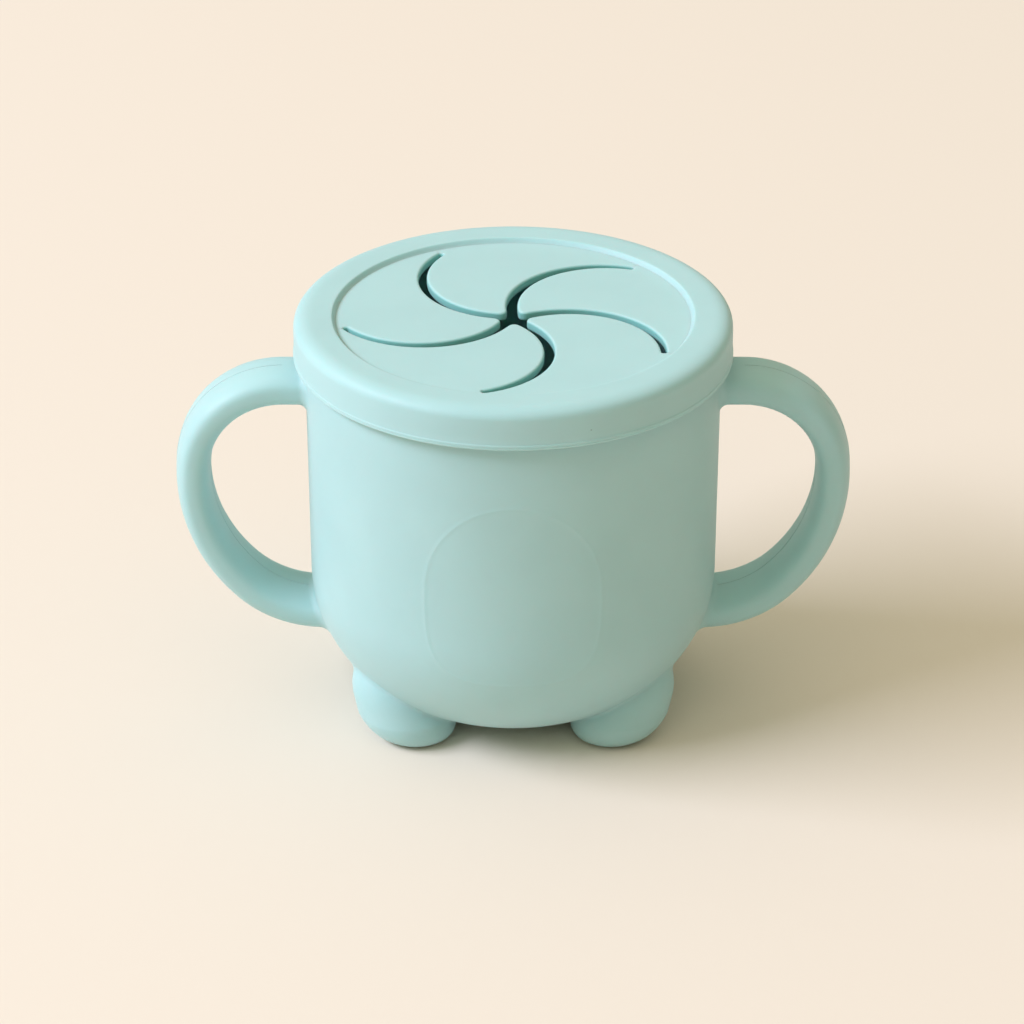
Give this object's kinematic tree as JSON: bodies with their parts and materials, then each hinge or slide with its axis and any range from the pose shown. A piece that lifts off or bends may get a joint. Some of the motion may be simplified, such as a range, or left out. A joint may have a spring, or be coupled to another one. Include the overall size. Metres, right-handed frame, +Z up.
{
  "type": "toddler snack container",
  "caption": "Soft round toddler snack cup with loop handles and stub feet, closed by a press-on lid slit into bending petals that let a small hand in and keep snacks inside.",
  "frame": {"origin": "on the floor under the cup's axis, between the feet", "axes": "+Z up along the cup's axis, handles along X, the front with the belly panel faces -Y"},
  "size_m": [0.1394, 0.09, 0.0876],
  "materials": {
    "cup_silicone": "matte",
    "lid_silicone": "matte"
  },
  "bodies": {
    "cup": {"cup_shell": "cup_silicone", "left_handle": "cup_silicone", "right_handle": "cup_silicone", "front_left_foot": "cup_silicone", "front_right_foot": "cup_silicone", "rear_left_foot": "cup_silicone", "rear_right_foot": "cup_silicone"},
    "lid": {"lid_ring": "lid_silicone"},
    "flap_1": {"flap_1": "lid_silicone"},
    "flap_2": {"flap_2": "lid_silicone"},
    "flap_3": {"flap_3": "lid_silicone"},
    "flap_4": {"flap_4": "lid_silicone"},
    "flap_5": {"flap_5": "lid_silicone"}
  },
  "joints": [
    {"name": "lid_lift", "type": "slide", "parent": "cup", "child": "lid", "axis": [0, 0, 1], "range_m": [0, 0.05]},
    {"name": "flap_1_bend", "type": "hinge", "parent": "lid", "child": "flap_1", "pos_m": [0.01233, -0.0248, 0.0856], "axis": [-0.8954, -0.4452, 0], "range_deg": [-30, 60], "stiffness_Nm_per_rad": 0.03},
    {"name": "flap_2_bend", "type": "hinge", "parent": "lid", "child": "flap_2", "pos_m": [0.0274, 0.00406, 0.0856], "axis": [0.1467, -0.9892, 0], "range_deg": [-30, 60], "stiffness_Nm_per_rad": 0.03},
    {"name": "flap_3_bend", "type": "hinge", "parent": "lid", "child": "flap_3", "pos_m": [0.0046, 0.02732, 0.0856], "axis": [0.9861, -0.1661, 0], "range_deg": [-30, 60], "stiffness_Nm_per_rad": 0.03},
    {"name": "flap_4_bend", "type": "hinge", "parent": "lid", "child": "flap_4", "pos_m": [-0.02456, 0.01282, 0.0856], "axis": [0.4627, 0.8865, 0], "range_deg": [-30, 60], "stiffness_Nm_per_rad": 0.03},
    {"name": "flap_5_bend", "type": "hinge", "parent": "lid", "child": "flap_5", "pos_m": [-0.01978, -0.01939, 0.0856], "axis": [-0.7001, 0.714, 0], "range_deg": [-30, 60], "stiffness_Nm_per_rad": 0.03}
  ]
}
